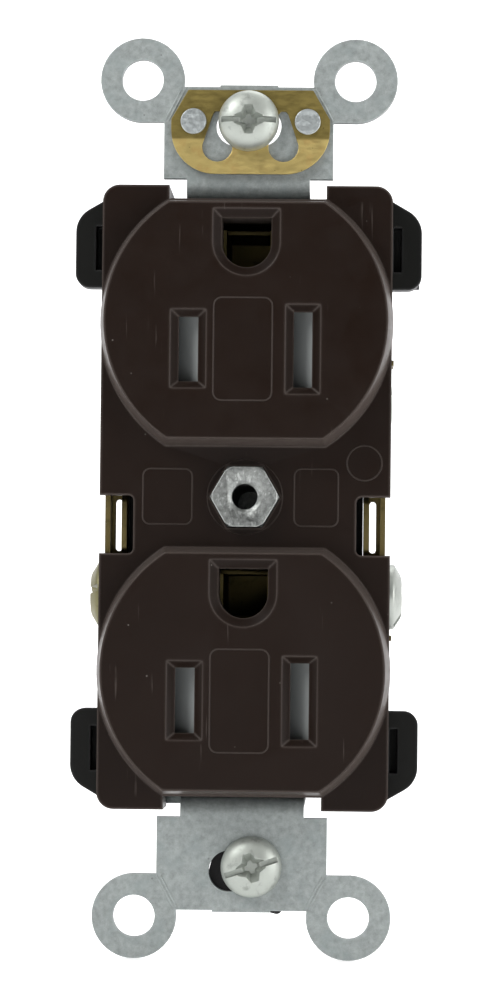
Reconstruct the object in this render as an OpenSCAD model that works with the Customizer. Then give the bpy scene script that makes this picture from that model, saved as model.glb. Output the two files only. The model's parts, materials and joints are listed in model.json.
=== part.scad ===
// Duplex wall outlet: two tamper-resistant receptacles in one body, held by a strap that
// wraps round its back.
// X is to the right and Z up along the strap. The faces look along -Y.
// The origin is on the centre post's axis, in the plane of the backs of the strap's ears.

/* [Strap] */
// Thickness of the steel strap
strap_t = 1.2; // [1.1:0.05:1.3]
// Distance between the centres of the two mounting slots
mount_pitch = 83.34; // [83.2:0.02:83.5]
// Length of a mounting slot, end to end
slot_l = 7.3; // [7.2:0.1:7.8]
// Width of a mounting slot
slot_w = 4.55; // [4.5:0.05:4.8]
// Width of the strap beside the mounting slots
strap_w = 19; // [18.6:0.1:19.4]
// Width of the neck and of the part that wraps round the back
neck_w = 13.8; // [13:0.1:14]
// Distance between the ears of one end, centre to centre
ear_pitch_x = 23.88; // [23.6:0.02:24.2]
// Distance between the ears of the two ends, centre to centre
ear_pitch_z = 93.54; // [93.4:0.02:93.7]
// Radius of an ear
ear_r = 4.72; // [4.5:0.02:4.8]
// Radius of the hole in an ear
ear_hole_r = 2.32; // [2:0.02:2.5]

/* [Cover] */
// Width of the cover
cover_w = 32.48; // [32.4:0.02:32.6]
// Height of the cover
cover_h = 69.8; // [69.7:0.1:70]
// Corner radius of the cover
cover_r = 1.9; // [1.2:0.1:2]
// How far the cover's base surface stands in front of the mounting plane
base_front = 1.95; // [1.9:0.05:2]
// How far the two faces stand in front of the mounting plane
face_front = 6.4; // [6.3:0.05:6.5]
// Distance between the centres of the two faces
face_pitch = 38.9; // [38.8:0.1:39]
// Radius of a face where it leaves the cover
face_r = 16.4; // [16.2:0.1:16.5]
// Half height of a face's flats where it leaves the cover
face_flat = 13.75; // [13.6:0.05:13.8]
// How much a face draws in on each side from its foot to its front
face_draft = 0.65; // [0.4:0.05:0.8]
// Thickness of the cover's walls
wall_t = 1.5; // [1.4:0.05:1.6]

/* [Plug openings] */
// Distance between the two blade slots, centre to centre
blade_pitch = 12.7; // [12.6:0.05:12.8]
// How far the blade slots are below the centre of the face
blade_drop = 3.2; // [3.1:0.05:3.3]
// How far the ground opening is above the centre of the face
ground_rise = 8.67; // [8.6:0.01:8.8]
// Width of the hot blade slot
hot_slot_w = 2.15; // [2:0.05:2.2]
// Height of the hot blade slot
hot_slot_h = 7.2; // [7:0.1:7.4]
// Width of the neutral blade slot
neutral_slot_w = 2.05; // [2:0.05:2.1]
// Height of the neutral blade slot
neutral_slot_h = 8.4; // [8.2:0.1:8.5]
// Width and height of the ground opening
ground_w = 5.5; // [5.3:0.1:5.6]

/* [Body] */
// Distance from the mounting plane to the joint between cover and body
joint_y = 3.5; // [3.4:0.1:3.6]
// Distance from the mounting plane to the back of the body
body_back = 22.5; // [22.3:0.1:22.7]
// Half width of the body between its end blocks
waist_x = 13.2; // [13.1:0.05:13.2]
// Half width that the wings reach
wing_x = 19.6; // [19.4:0.1:19.8]

/* [Terminals] */
// Height of the terminal screws above and below the centre
term_z = 10.9; // [10.8:0.1:11]
// Distance of the terminal screws behind the mounting plane
term_y = 8; // [7.8:0.1:8.2]
// Radius of a terminal screw's head
head_r = 3.7; // [3.5:0.1:3.8]
// Radius of a terminal screw's thread
thread_r = 2; // [1.9:0.05:2.05]
// How far the two lower terminal screws are backed out
backed_out = 1.3; // [0:0.1:1.5]

/* [Shutters] */
// Turns of wire in a shutter spring
spring_turns = 5; // [4:1:6]

/* [Mounting screws] */
// Radius of a mounting screw's head
mount_head_r = 3.4; // [3.2:0.1:3.6]
// Radius of a mounting screw's threaded shank
mount_shank_r = 1.75; // [1.7:0.01:1.76]
// Distance from the mounting plane to a mounting screw's tip
mount_tip_y = 18; // [16:1:24]
// Place of the lower mounting screw along its slot
lower_screw_x = 1.1; // [-1.6:0.1:1.6]

/* [Hidden] */
$fn = 64;
eps = 0.5;          // how far a cutter runs past the surface it opens
fit = 0.05;         // radial clearance of a part that turns or slides
set_gap = 0.02;     // clearance of a part that is riveted in place

brown = "#33271f";
black = "#1c1d1e";
steel = "#9ba3a3";
zinc = "#c4c8c8";
brass = "#b09a55";
green = "#2f7a45";
grey = "#b9bab6";

// strap
mount_z = mount_pitch / 2;
ear_x = ear_pitch_x / 2;
ear_z = ear_pitch_z / 2;
block_z = 35.7;                       // inner edge of the block round a mounting slot
end_z = 46.05;                        // outer edge between the ears
bend_r = 0.7;                         // inner radius of a bend
leg_in = 33.4;                        // inner surface of the leg that runs back
leg_out = leg_in + strap_t;
tab_y0 = 7;                           // ground tab, along Y
tab_y1 = 16;
tab_x = 16.1;                         // outer surface of the ground tab
tab_z = 24.4;                         // inner end of the ground tab
ground_y = 11.5;                      // axis of the ground screw
ground_z = 28.6;

// cover
half_w = cover_w / 2;
half_h = cover_h / 2;
face_z = face_pitch / 2;
face_t = 1.8;                         // thickness of a face
cave_front = face_front - face_t;     // inside of a face, in front of the mounting plane
lid_in = base_front - wall_t;         // inside of the base, in front of the mounting plane
recess_x = 8.8;                       // half width of an end recess
notch_x = 12.45;                      // inner side of a break-off notch
notch_top = 0.1;
notch_bottom = -6.4;
link_x = 13;                          // the cover's side is open here, behind its lid
frame_depth = 0.9;                    // depth of the bevelled frame round a slot
frame_w = 0.93;                       // width of that frame
ground_flare = 1.0;                   // how far a ground opening's mouth flares on each side
stake_x = 8.9;                        // the four stakes that hold a shutter tray
stake_z = 6.1;
stake_r = 0.7;
boss_r = 5;                           // boss round the centre post

// centre post
hex_af = 6.7;
hex_front = 3.5;
hex_seat = 0.9;
post_r = 2.25;
post_bore_r = 1.42;
post_bore_end = 20.5;                 // the threaded bore is blind
post_sink_r = 2.2;                    // countersunk mouth of the bore
post_sink = 0.6;
hex_chamfer_r = 3.6;

// body
cave_x = 11.9;                        // half width of the cavity at the waist
block_x = 16.2;                       // half width of the end blocks
block_in = 17.5;                      // inner end of an end block
cave_z = 32;
flange_z = 6.5;                       // inner end of the flange behind a terminal
wire_x = 14.6;                        // holes for back wiring
wire_dz = 2.9;
wire_hole_r = 1.1;
floor_t = 1.6;
floor_y = body_back - floor_t;
wing_root_x = 15.5;                   // a wing starts inside its end block
wing_in = 23.8;                       // inner end of a wing
wing_in_r = 1.6;                      // rounding at that end
wing_shoulder_z = 30.1;               // where the side turns into the sloped end
wing_out_r = 3;                       // rounding between them
wing_out = 34.2;                      // outer end of the slope
wing_t = 2.8;                         // thickness of the ledge in front
wing_back_y = 17.5;                   // front of the ledge behind
wing_back_in = 25.2;                  // its inner end
wing_rib_z = 32.5;

// contacts
sheet = 0.6;                          // thickness of the contact sheet
plate_in = 13.25;                     // inner surface of a screw plate
plate_out = plate_in + sheet;
plate_z = 16.8;
arm_y = 14.4;                         // front of the arms that carry the blade contacts
arm_z = 13.2;
leaf_gap = 0.8;                       // half gap between the leaves of a contact
leaf_t = 0.5;
leaf_front = 1.5;
blade_x = blade_pitch / 2;

// terminal hardware
clamp_t = 0.8;
head_h = 1.8;
clamp_hy = 4.2;
clamp_hz = 3.9;
screw_in = 4.3;                       // how far a screw reaches in past its plate's outside

// shutters
shut_front = 4.3;                     // ramp's highest line, in front of the mounting plane
shut_back = 1.25;
ramp_low = 1.9;
shut_h = 5.2;                         // half height
bar_h = 4.4;                          // half height of the window
ramp_hot0 = -7.7;
ramp_hot1 = -4.9;
window0 = -4.6;
window1 = 5.05;
shut_end = 7.85;
tray_front = 1.15;
tray_back = -0.05;
tray_h = 7;
tray_x = 9.8;
rail_x = 8;
stop_x = 1.25;                        // spring stop on the tray
stop_t = 0.65;
spring_y = -2.75;
spring_r = 1;
wire_r = 0.15;

// mounting screws
upper_lift = 0.45;                    // how far the screws rest above their slots' centres
lower_lift = 0.5;
washer_half = 4.5;
washer_turn = 14;                     // degrees
mount_neck_r = 1.5;                   // plain neck under the head
mount_thread_y = 1.6;                 // where the neck ends and the thread starts

// self-grounding clip
clip_t = 0.4;
clip_x = 8.9;
clip_shift = 0.2;                     // the clip is riveted a little to the right
clip_bottom = 36.15;
clip_top = 45.65;
clip_round = 5;
clip_corner = 1.9;                    // how far the top corners are cut along X
clip_corner_z = 42.35;
clip_bend_z = 40.15;
clip_bend = 7;                        // angle of the lower flap, in degrees
flap_rise = (clip_bend_z - mount_z - upper_lift + mount_head_r) * tan(clip_bend);
clip_rivets_x = [clip_shift - 6.4, clip_shift + 6.4];
clip_rivet_z = 42.1;
window_x = 3.7;
window_z = 39.25;
window_top = 43.25;
window_r = 1.7;
clip_rivet_r = 0.9;
clip_rivet_head_r = 1.45;

// rivets of the ground strip
rivet_z = [14, -21];
rivet_r = 1.5;
rivet_head_r = 2.4;
rivet_head_h = 0.7;

// ---------------------------------------------------------------- helpers

// an XZ outline from y0 back to y1
module slab(y0, y1) {
    translate([0, y1, 0])
        rotate([90, 0, 0])
            linear_extrude(y1 - y0)
                children();
}

// a YZ outline from x0 to x1
module bar_x(x0, x1) {
    translate([x0, 0, 0])
        rotate([90, 0, 90])
            linear_extrude(x1 - x0)
                children();
}

// a box between two corners
module box(a, b) {
    translate(a)
        cube(b - a);
}

module rod_y(r, y0, y1) {
    translate([0, y1, 0])
        rotate([90, 0, 0])
            cylinder(r = r, h = y1 - y0);
}

module rod_x(r, x0, x1) {
    translate([x0, 0, 0])
        rotate([0, 90, 0])
            cylinder(r = r, h = x1 - x0);
}

// round bar along Y that narrows from r_front at y0 to r_back at y1
module cone_y(r_front, r_back, y0, y1) {
    translate([0, y1, 0])
        rotate([90, 0, 0])
            cylinder(r1 = r_back, r2 = r_front, h = y1 - y0);
}

// the same shape on the left and on the right
module both_sides() {
    for (m = [0, 1])
        mirror([m, 0, 0])
            children();
}

// the same shape at both ends
module both_ends() {
    for (m = [0, 1])
        mirror([0, 0, m])
            children();
}

function arc(c, r, a0, a1, n = 12) = [
    for (i = [0 : n]) c + r * [cos(a0 + (a1 - a0) * i / n), sin(a0 + (a1 - a0) * i / n)]
];

module rounded_rect(hx, hz, r) {
    polygon(concat(
        arc([hx - r, hz - r], r, 0, 90),
        arc([r - hx, hz - r], r, 90, 180),
        arc([r - hx, r - hz], r, 180, 270),
        arc([hx - r, r - hz], r, 270, 360)
    ));
}

module oblong(l, w) {
    mid = (l - w) / 2;
    polygon(concat(
        arc([mid, 0], w / 2, -90, 90, 24),
        arc([-mid, 0], w / 2, 90, 270, 24)
    ));
}

// a rectangular opening whose walls lean out towards the front: half sizes at the back and front
module flared_box(x_back, z_back, x_front, z_front, y0, y1) {
    reach = z_front + eps;
    intersection() {
        translate([0, 0, -reach])
            linear_extrude(2 * reach)
                polygon([[-x_front, y0], [x_front, y0], [x_back, y1], [-x_back, y1]]);
        bar_x(-x_front - eps, x_front + eps)
            polygon([[y0, -z_front], [y0, z_front], [y1, z_back], [y1, -z_back]]);
    }
}

// ---------------------------------------------------------------- cover

module face_plateau() {
    tip_flat = face_flat - face_draft;
    intersection() {
        cone_y(face_r - face_draft, face_r, -face_front, -base_front + 0.2);
        bar_x(-face_r - eps, face_r + eps)
            polygon([
                [-face_front - eps, -tip_flat],
                [-face_front - eps, tip_flat],
                [-base_front + 0.2, face_flat],
                [-base_front + 0.2, -face_flat],
            ]);
    }
}

module blade_slot(w, h) {
    translate([0, 0, -blade_drop]) {
        slab(-face_front - eps, -cave_front + eps)
            square([w, h], center = true);
        flared_box(
            w / 2, h / 2, w / 2 + frame_w, h / 2 + frame_w * 0.85,
            -face_front - 0.01, -face_front + frame_depth
        );
    }
}

// D-shaped: round below and flat on top
module ground_outline(grow = 0) {
    r = ground_w / 2 + grow;
    polygon(concat(arc([0, 0], r, 180, 360, 24), [[r, r], [-r, r]]));
}

module ground_opening() {
    translate([0, 0, ground_rise]) {
        slab(-face_front - eps, joint_y)
            ground_outline();
        // flared mouth
        hull() {
            slab(-face_front - 0.02, -face_front - 0.01)
                ground_outline(ground_flare);
            slab(-face_front + frame_depth, -face_front + frame_depth + 0.01)
                ground_outline();
        }
    }
}

// room behind a face for the shutter and its tray
module face_cave() {
    difference() {
        slab(-cave_front, -lid_in + eps)
            intersection() {
                circle(r = 14.2);
                square([40, 2 * 11.9], center = true);
            }
        translate([0, 0, ground_rise])
            slab(-cave_front - eps, 1)
                ground_outline(1);
        for (x = [-stake_x, stake_x])
            for (z = [-stake_z, stake_z])
                translate([x, 0, z - blade_drop])
                    rod_y(stake_r, -cave_front - eps, 1);
    }
}

module cover_outline() {
    notch_h = notch_top - notch_bottom;
    difference() {
        rounded_rect(half_w, half_h, cover_r);
        for (s = [-1, 1]) {
            translate([0, s * (leg_in + 5)])
                square([2 * recess_x, 10], center = true);
            translate([s * (notch_x + 5), notch_bottom + notch_h / 2])
                rounded_rect(5, notch_h / 2, 0.6);
        }
    }
}

module cover_low_cave() {
    difference() {
        slab(-lid_in, joint_y + eps)
            difference() {
                square([2 * (half_w - wall_t), 2 * cave_z], center = true);
                for (s = [-1, 1])
                    translate([s * 15, (notch_top + notch_bottom) / 2])
                        square([2 * (15 - notch_x + 1.2), notch_top - notch_bottom + 3.4], center = true);
            }
        rod_y(boss_r, -lid_in - eps, joint_y + 1);
        for (s = [-1, 1])
            translate([0, 0, s * face_z]) {
                translate([0, 0, ground_rise])
                    slab(-lid_in - eps, 0.4)
                        ground_outline(1);
                for (x = [-stake_x, stake_x])
                    for (z = [-stake_z, stake_z])
                        translate([x, 0, z - blade_drop]) {
                            rod_y(stake_r, -lid_in - eps, -tray_back + 0.1);
                            rod_y(stake_r + 0.4, -tray_back, -tray_back + 0.6);
                        }
            }
    }
}

module cover() {
    color(brown)
        difference() {
            union() {
                slab(-base_front, joint_y)
                    cover_outline();
                for (s = [-1, 1])
                    translate([0, 0, s * face_z])
                        face_plateau();
            }
            for (s = [-1, 1])
                translate([0, 0, s * face_z]) {
                    face_cave();
                    translate([-blade_x, 0, 0])
                        blade_slot(hot_slot_w, hot_slot_h);
                    translate([blade_x, 0, 0])
                        blade_slot(neutral_slot_w, neutral_slot_h);
                    ground_opening();
                }
            cover_low_cave();
            // seat of the centre post's hexagon, and the hole for its shank
            translate([0, -hex_seat, 0])
                rotate([90, 0, 0])
                    cylinder(d = (hex_af + 0.15) / cos(30), h = 5, $fn = 6);
            rod_y(post_r + fit, -5, joint_y + eps);
            // sides are open beside the break-off links
            both_sides()
                box([link_x, -lid_in, notch_bottom - 1.2], [half_w + eps, joint_y + eps, notch_top + 1.2]);
        }
}

// ---------------------------------------------------------------- back body

module wing_outline() {
    polygon(concat(
        [[wing_root_x, wing_in]],
        arc([wing_x - wing_in_r, wing_in + wing_in_r], wing_in_r, -90, 0),
        arc([wing_x - wing_out_r, wing_shoulder_z], wing_out_r, 0, 60),
        [[wing_root_x, wing_out]]
    ));
}

// a thick ledge in front and a shorter one behind, joined by a rib at the sloped end
module wing() {
    difference() {
        union() {
            slab(joint_y, joint_y + wing_t)
                wing_outline();
            slab(wing_back_y, wing_back_y + 2)
                intersection() {
                    wing_outline();
                    translate([wing_root_x, wing_back_in])
                        square(12);
                }
            slab(joint_y + 1, wing_back_y + 0.5)
                intersection() {
                    wing_outline();
                    translate([wing_root_x, wing_rib_z])
                        square([3, 1]);
                }
        }
        // blind pocket beside the cover
        box([block_x + 0.2, joint_y - eps, 25.8], [block_x + 1.1, joint_y + wing_t - 0.5, 30.8]);
    }
}

module body_outline() {
    union() {
        rounded_rect(waist_x, block_in + 1, 0.5);
        for (s = [-1, 1])
            translate([0, s * (half_h + block_in) / 2])
                rounded_rect(block_x, (half_h - block_in) / 2, 1.6);
    }
}

// triangle that takes a little more than a bend's inner radius off a corner
module bevel(corner) {
    cut = bend_r + 0.1;
    polygon([corner + [0.1, 0.1], corner + [0.1, -cut - 0.1], corner + [-cut - 0.1, 0.1]]);
}

// end channel for the strap's leg, with a sloped shoulder on each side
module end_channel() {
    slab(joint_y - eps, body_back + eps)
        polygon([
            [-recess_x, half_h + 1],
            [-recess_x, leg_in - 0.7],
            [-neck_w / 2, leg_in],
            [neck_w / 2, leg_in],
            [recess_x, leg_in - 0.7],
            [recess_x, half_h + 1],
        ]);
}

module body_cave() {
    difference() {
        union() {
            box([-cave_x, joint_y - eps, -cave_z], [cave_x, floor_y, cave_z]);
            both_ends()
                both_sides()
                    box([cave_x - 1, joint_y - eps, block_in + 1.4], [block_x - wall_t, floor_y, cave_z]);
        }
        rod_y(boss_r, joint_y - 1, floor_y + eps);
        // the corner beside the ground tab keeps a thicker wall
        box([-block_x, joint_y - 1, -cave_z - 1], [-13.4, floor_y + 1, -tab_z + 1.6]);
    }
}

module back_body() {
    color(black)
        difference() {
            union() {
                slab(joint_y, body_back)
                    body_outline();
                both_ends()
                    both_sides() {
                        wing();
                        // flange behind a terminal, with the holes for back wiring
                        box([waist_x - 1, 17.5, flange_z], [block_x, body_back, block_in + 1]);
                    }
            }
            body_cave();
            both_ends() {
                end_channel();
                // room for the inside of the strap's back bend
                bar_x(-recess_x, recess_x)
                    bevel([body_back, leg_in]);
                both_sides() {
                    for (dz = [-wire_dz, wire_dz])
                        translate([wire_x, 0, term_z + dz])
                            rod_y(wire_hole_r, 17, body_back + eps);
                    translate([0, term_y, term_z])
                        rod_x(thread_r + 0.4, cave_x - eps, waist_x + eps);
                    box(
                        [cave_x - eps, joint_y - eps, arm_z - 0.1],
                        [waist_x + eps, arm_y + sheet + fit, plate_z + 0.1]
                    );
                }
            }
            rod_y(post_r + fit, joint_y - eps, body_back + eps);
            for (z = rivet_z)
                translate([0, 0, z])
                    rod_y(rivet_r + set_gap, floor_y - 1, body_back + eps);
            // pocket for the ground tab, and room for the inside of its bend
            slab(tab_y0 - 0.1, tab_y1 + 0.1)
                rotate(180)
                    bevel([tab_x - strap_t, leg_in]);
            box(
                [-block_x - eps, tab_y0 - 0.1, -half_h - eps],
                [-tab_x + strap_t, tab_y1 + 0.1, -tab_z + 0.1]
            );
            box([-block_x - eps, tab_y0 - 0.1, -half_h - eps], [0, tab_y1 + 0.1, -leg_in]);
            translate([0, ground_y, -ground_z])
                rod_x(thread_r + 0.4, -block_x, -10);
        }
}

// ---------------------------------------------------------------- strap

// band that runs from one neck round the back to the other neck, in the YZ plane
module strap_band() {
    front_c = [bend_r, leg_in + bend_r + strap_t];
    back_c = [body_back - bend_r, leg_in - bend_r];
    outer_r = bend_r + strap_t;
    half_out = concat(
        [[-strap_t, block_z + 1]],
        arc(front_c, outer_r, 180, 270),
        arc(back_c, bend_r, 90, 0)
    );
    half_in = concat(
        arc(back_c, outer_r, 0, 90),
        arc(front_c, bend_r, 270, 180),
        [[0, block_z + 1]]
    );
    inner = concat(half_out, [for (i = [len(half_out) - 1 : -1 : 0]) [half_out[i][0], -half_out[i][1]]]);
    outer = concat([for (i = [len(half_in) - 1 : -1 : 0]) [half_in[i][0], -half_in[i][1]]], half_in);
    polygon(concat(inner, outer));
}

module strap_end_outline() {
    foot_z = ear_z - ear_r + 0.02;
    difference() {
        union() {
            translate([-strap_w / 2, block_z])
                square([strap_w, 9]);
            translate([-3.25, block_z])
                square([6.5, end_z + 0.2 - block_z]);
            polygon([
                [-ear_x, foot_z], [ear_x, foot_z], [ear_x, ear_z],
                [ear_x - ear_r + 0.05, end_z], [-ear_x + ear_r - 0.05, end_z], [-ear_x, ear_z],
            ]);
            for (s = [-1, 1])
                translate([s * ear_x, ear_z])
                    circle(r = ear_r);
        }
        for (s = [-1, 1])
            translate([s * ear_x, ear_z])
                circle(r = ear_hole_r);
        translate([0, mount_z])
            oblong(slot_l, slot_w);
    }
}

// tab for the ground screw: leaves the lower leg and turns up beside the body
module ground_tab() {
    c = [-tab_x + strap_t + bend_r, -leg_out + strap_t + bend_r];
    difference() {
        union() {
            translate([0, tab_y1, 0])
                rotate([90, 0, 0])
                    linear_extrude(tab_y1 - tab_y0)
                        polygon(concat(
                            [[-neck_w / 2 + 1, -leg_in], [-neck_w / 2 + 1, -leg_out]],
                            arc(c, bend_r + strap_t, 270, 180),
                            [[-tab_x, -tab_z], [-tab_x + strap_t, -tab_z]],
                            arc(c, bend_r, 180, 270)
                        ));
        }
        translate([0, ground_y, -ground_z])
            rod_x(thread_r + fit, -tab_x - eps, -tab_x + strap_t + eps);
    }
}

module mounting_strap() {
    color(steel)
        difference() {
            union() {
                bar_x(-neck_w / 2, neck_w / 2)
                    strap_band();
                both_ends()
                    slab(-strap_t, 0)
                        strap_end_outline();
                ground_tab();
            }
            rod_y(post_r + fit, body_back - 1, body_back + strap_t + eps);
            for (z = rivet_z)
                translate([0, 0, z])
                    rod_y(rivet_r + set_gap, body_back - 1, body_back + strap_t + eps);
            for (x = clip_rivets_x)
                translate([x, 0, clip_rivet_z])
                    rod_y(clip_rivet_r + set_gap, -strap_t - eps, eps);
        }
}

// ---------------------------------------------------------------- self-grounding clip

module clip_outline() {
    polygon(concat(
        arc([clip_x - clip_round, clip_bottom + clip_round], clip_round, -90, 0),
        [
            [clip_x, clip_corner_z], [clip_x - clip_corner, clip_top],
            [-clip_x + clip_corner, clip_top], [-clip_x, clip_corner_z],
        ],
        arc([-clip_x + clip_round, clip_bottom + clip_round], clip_round, 180, 270)
    ));
}

// narrow at the top and round at the bottom
module clip_window() {
    polygon(concat(
        arc([window_x, window_z], window_r, 170, 370),
        [
            [window_x + 0.5, window_top - 0.3], [window_x + 0.25, window_top],
            [window_x - 0.3, window_top], [window_x - 0.55, window_top - 0.3],
        ]
    ));
}

module clip_face() {
    difference() {
        translate([clip_shift, 0]) {
            difference() {
                clip_outline();
                for (m = [0, 1])
                    mirror([m, 0])
                        clip_window();
            }
        }
        translate([0, mount_z + upper_lift])
            circle(r = mount_neck_r + fit);
        for (x = clip_rivets_x)
            translate([x, clip_rivet_z])
                circle(r = clip_rivet_r + set_gap);
    }
}

// edge of the sheet in the YZ plane: flat where it is riveted, with its lower flap bent off the strap
module clip_edge() {
    flap = clip_bend_z - clip_bottom + 1;
    step = flap * tan(clip_bend);
    polygon([
        [-strap_t, clip_top + 1], [-strap_t, clip_bend_z], [-strap_t - step, clip_bend_z - flap],
        [-strap_t - clip_t - step, clip_bend_z - flap], [-strap_t - clip_t, clip_bend_z],
        [-strap_t - clip_t, clip_top + 1],
    ]);
}

module self_ground_clip() {
    color(brass)
        intersection() {
            slab(-strap_t - 4, eps)
                clip_face();
            bar_x(-clip_x - 1, clip_x + 1)
                clip_edge();
        }
}

module clip_rivets() {
    color(steel)
        for (x = clip_rivets_x)
            translate([x, 0, clip_rivet_z]) {
                rod_y(clip_rivet_r, -strap_t - clip_t - 0.1, 0);
                rod_y(clip_rivet_head_r, -strap_t - clip_t - 0.35, -strap_t - clip_t);
            }
}

// ---------------------------------------------------------------- centre post

module centre_post() {
    shoulder_y = body_back + strap_t;
    color(zinc)
        difference() {
            union() {
                intersection() {
                    translate([0, -hex_seat, 0])
                        rotate([90, 0, 0])
                            cylinder(d = hex_af / cos(30), h = hex_front - hex_seat, $fn = 6);
                    cone_y(hex_chamfer_r, hex_chamfer_r + hex_front, -hex_front, 0);
                }
                rod_y(post_r, -hex_seat - 0.1, shoulder_y + 0.1);
                cone_y(3.4, 2.9, shoulder_y, shoulder_y + 0.8);
            }
            rod_y(post_bore_r, -hex_front - eps, post_bore_end);
            cone_y(post_sink_r + eps, post_bore_r - eps, -hex_front - eps, -hex_front + post_sink);
        }
}

// ---------------------------------------------------------------- grounding inside

module ground_contact() {
    both_sides()
        box([2.45, 3, -2.3], [2.95, floor_y - sheet, 2.3]);
    box([-2.95, 9, 2.3], [2.95, floor_y - sheet, 2.8]);
    box([-2.95, floor_y - sheet - 0.2, -2.3], [2.95, floor_y, 2.8]);
}

module ground_strip() {
    top = face_z + ground_rise;
    bottom = -face_z + ground_rise;
    color(brass)
        difference() {
            union() {
                slab(floor_y - sheet, floor_y)
                    union() {
                        circle(r = 7);
                        translate([-2.95, -24])
                            square([5.9, top + 2 + 24]);
                    }
                translate([0, 0, top])
                    ground_contact();
                translate([0, 0, bottom])
                    ground_contact();
            }
            rod_y(boss_r + 0.1, 10, floor_y + eps);
            for (z = rivet_z)
                translate([0, 0, z])
                    rod_y(rivet_r + set_gap, floor_y - 1, floor_y + eps);
        }
}

module ground_strip_rivets() {
    back = body_back + strap_t;
    color(steel)
        for (z = rivet_z)
            translate([0, 0, z]) {
                rod_y(rivet_r, floor_y - sheet - 0.1, back + 0.1);
                rod_y(rivet_head_r, floor_y - sheet - rivet_head_h, floor_y - sheet);
                rod_y(rivet_head_r, back, back + rivet_head_h);
            }
}

// ---------------------------------------------------------------- blade contacts

// a pair of leaves that grip a blade, with the web that joins them
module blade_contact(half_height) {
    for (s = [-1, 1])
        translate([s * (leaf_gap + leaf_t / 2), 0, 0])
            box([-leaf_t / 2, leaf_front, -half_height], [leaf_t / 2, arm_y + sheet, half_height]);
    box([-leaf_gap - leaf_t, arm_y, -half_height], [leaf_gap + leaf_t, arm_y + sheet, half_height]);
}

// screw plates, break-off link and contacts of one pole, drawn for the right-hand side
module pole_strip(half_height) {
    upper = face_z - blade_drop;
    lower = -face_z - blade_drop;
    gap_top = notch_top - 0.2;
    gap_bottom = notch_bottom + 0.2;
    difference() {
        union() {
            // screw plates
            box([plate_in, 4, -plate_z], [plate_out, 12.4, plate_z]);
            both_ends() {
                box([plate_in, 4, arm_z], [plate_out, arm_y + sheet, plate_z]);
                box([blade_x, arm_y, arm_z], [plate_out, arm_y + sheet, plate_z]);
                box([plate_in, 5, 15.3], [16.55, 11, 15.9]);
            }
            translate([blade_x, 0, upper])
                blade_contact(half_height);
            box([blade_x - 1, arm_y, lower - half_height], [blade_x + 3, arm_y + sheet, -arm_z]);
            translate([blade_x, 0, lower])
                blade_contact(half_height);
        }
        // leaves the halves joined by the break-off link only
        box([plate_in - 1, 4.6, gap_bottom], [plate_out + 1, 20, gap_top]);
        both_ends()
            translate([0, term_y, term_z])
                rod_x(thread_r + fit, plate_in - eps, plate_out + eps);
    }
    break_off_link();
}

// U-shaped link, open to the front, with a slot in its web
module break_off_link() {
    top = notch_top - 0.2;
    bottom = notch_bottom + 0.2;
    link_front = -0.2;
    web_y = 3;
    bar_x(plate_in, plate_out)
        polygon(concat(
            [[5, notch_bottom - 0.8], [2, notch_bottom - 0.8]],
            arc([link_front + 0.6, bottom + 0.6], 0.6, 270, 180, 6),
            arc([link_front + 0.6, top - 0.6], 0.6, 180, 90, 6),
            [[2, notch_top + 0.8], [5, notch_top + 0.8]]
        ));
    difference() {
        box([plate_in, web_y, notch_bottom - 0.45], [15.7, web_y + sheet, notch_top + 0.45]);
        translate([14.3, 0, (top + bottom) / 2])
            slab(web_y - eps, web_y + sheet + eps)
                rotate(90)
                    oblong(5.8, 0.75);
    }
    box([15.1, link_front, notch_bottom - 0.45], [15.7, web_y + sheet, notch_top + 0.45]);
}

module hot_strip() {
    color(brass)
        mirror([1, 0, 0])
            pole_strip(3);
}

module neutral_strip() {
    color(brass)
        pole_strip(3.6);
}

// ---------------------------------------------------------------- terminals
// Drawn on the right, at the axis, with the clamp plate's inside at x = 0.

module clamp_plate() {
    difference() {
        box([0, -clamp_hy, -clamp_hz], [clamp_t, clamp_hy, clamp_hz]);
        rod_x(thread_r + fit, -eps, clamp_t + eps);
    }
}

module binding_screw() {
    difference() {
        union() {
            rod_x(thread_r, -screw_in, clamp_t + 0.1);
            rod_x(head_r, clamp_t, clamp_t + head_h);
        }
        box([clamp_t + head_h - 0.9, -0.55, -5], [clamp_t + head_h + eps, 0.55, 5]);
        box([clamp_t + head_h - 1.1, -2, -0.5], [clamp_t + head_h + eps, 2, 0.5]);
    }
}

// side is -1 for hot and 1 for neutral, end is 1 for upper and -1 for lower
module at_terminal(side, end) {
    out = end < 0 ? backed_out : 0;
    translate([side * (plate_out + out), term_y, end * term_z])
        mirror([side < 0 ? 1 : 0, 0, 0])
            children();
}

module at_ground_terminal() {
    translate([-tab_x, ground_y, -ground_z])
        mirror([1, 0, 0])
            children();
}

module ground_screw() {
    color(green)
        at_ground_terminal()
            binding_screw();
}

module ground_clamp() {
    color(brass)
        at_ground_terminal()
            difference() {
                box([0, -clamp_hy, -3.8], [clamp_t, clamp_hy, 3.8]);
                rod_x(thread_r + fit, -eps, clamp_t + eps);
            }
}

// ---------------------------------------------------------------- mounting screws

// head of radius mount_head_r, domed in front, with its underside at y = 0
module domed_head() {
    dome = 2.3;
    rim = 0.5;
    ball = (mount_head_r * mount_head_r + (dome - rim) * (dome - rim)) / (2 * (dome - rim));
    difference() {
        intersection() {
            rod_y(mount_head_r, -dome - 1, 0);
            translate([0, ball - dome, 0])
                sphere(r = ball, $fn = 96);
        }
        box([-5, -dome - 1, -0.45], [5, -dome + 1.1, 0.45]);
        box([-0.45, -dome - 1, -1.9], [0.45, -dome + 1.5, 1.9]);
    }
}

module mounting_screw(seat_y) {
    translate([0, seat_y, 0])
        domed_head();
    rod_y(mount_neck_r, seat_y - 0.5, mount_thread_y + 0.1);
    rod_y(mount_shank_r, mount_thread_y, mount_tip_y - 1);
    cone_y(mount_shank_r, mount_shank_r - 0.6, mount_tip_y - 1, mount_tip_y);
}

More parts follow.
